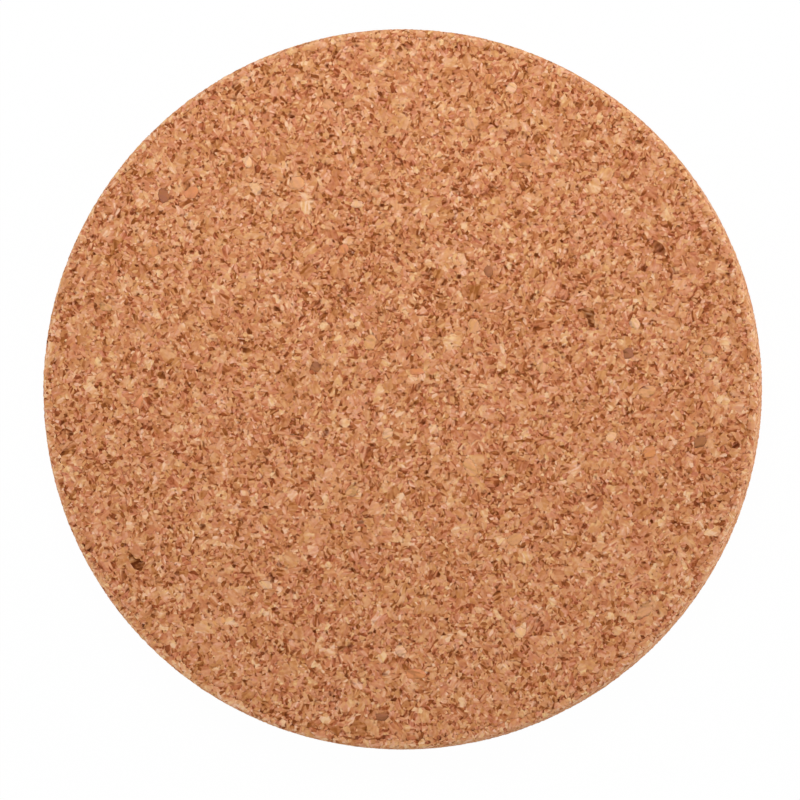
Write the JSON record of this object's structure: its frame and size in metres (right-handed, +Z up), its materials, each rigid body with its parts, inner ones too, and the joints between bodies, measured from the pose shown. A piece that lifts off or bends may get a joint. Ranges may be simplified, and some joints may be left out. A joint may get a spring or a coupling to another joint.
{
  "type": "cork coaster",
  "caption": "Round flat coaster of bonded cork granules with eased edges, laid under a glass or cup to protect a table.",
  "frame": {"origin": "centre of the underside, on the surface that the coaster lies on", "axes": "+Z up out of the face that carries the cup; +X to the right and +Y to the top of the picture"},
  "size_m": [0.1, 0.1, 0.006],
  "materials": {
    "cork_bonded": "matt, granular",
    "cork_pale": "matt",
    "cork_tan": "matt",
    "cork_russet": "matt",
    "cork_bark": "matt"
  },
  "bodies": {
    "root": {"base_bark_granule_05": "cork_bark", "base_bark_granule_10": "cork_bark", "base_pale_granule_02": "cork_pale", "base_pale_granule_07": "cork_pale", "base_russet_granule_03": "cork_russet", "base_russet_granule_08": "cork_russet", "base_tan_granule_01": "cork_tan", "base_tan_granule_04": "cork_tan", "base_tan_granule_06": "cork_tan", "base_tan_granule_09": "cork_tan", "cork_body": "cork_bonded", "top_bark_granule_01": "cork_bark", "top_bark_granule_02": "cork_bark", "top_bark_granule_03": "cork_bark", "top_bark_granule_04": "cork_bark", "top_bark_granule_05": "cork_bark", "top_bark_granule_06": "cork_bark", "top_pale_granule_01": "cork_pale", "top_pale_granule_02": "cork_pale", "top_pale_granule_03": "cork_pale", "top_pale_granule_04": "cork_pale", "top_pale_granule_05": "cork_pale", "top_pale_granule_06": "cork_pale", "top_pale_granule_07": "cork_pale", "top_pale_granule_08": "cork_pale", "top_pale_granule_09": "cork_pale", "top_pale_granule_10": "cork_pale", "top_pale_granule_11": "cork_pale", "top_russet_granule_01": "cork_russet", "top_russet_granule_02": "cork_russet", "top_russet_granule_03": "cork_russet", "top_russet_granule_04": "cork_russet", "top_russet_granule_05": "cork_russet", "top_russet_granule_06": "cork_russet", "top_russet_granule_07": "cork_russet", "top_russet_granule_08": "cork_russet", "top_russet_granule_09": "cork_russet", "top_tan_granule_01": "cork_tan", "top_tan_granule_02": "cork_tan", "top_tan_granule_03": "cork_tan", "top_tan_granule_04": "cork_tan", "top_tan_granule_05": "cork_tan", "top_tan_granule_06": "cork_tan", "top_tan_granule_07": "cork_tan", "top_tan_granule_08": "cork_tan", "top_tan_granule_09": "cork_tan", "top_tan_granule_10": "cork_tan", "top_tan_granule_11": "cork_tan", "top_tan_granule_12": "cork_tan", "top_tan_granule_13": "cork_tan", "top_tan_granule_14": "cork_tan", "wall_pale_granule_01": "cork_pale", "wall_pale_granule_04": "cork_pale", "wall_russet_granule_03": "cork_russet", "wall_russet_granule_06": "cork_russet", "wall_tan_granule_02": "cork_tan", "wall_tan_granule_05": "cork_tan"}
  },
  "joints": []
}
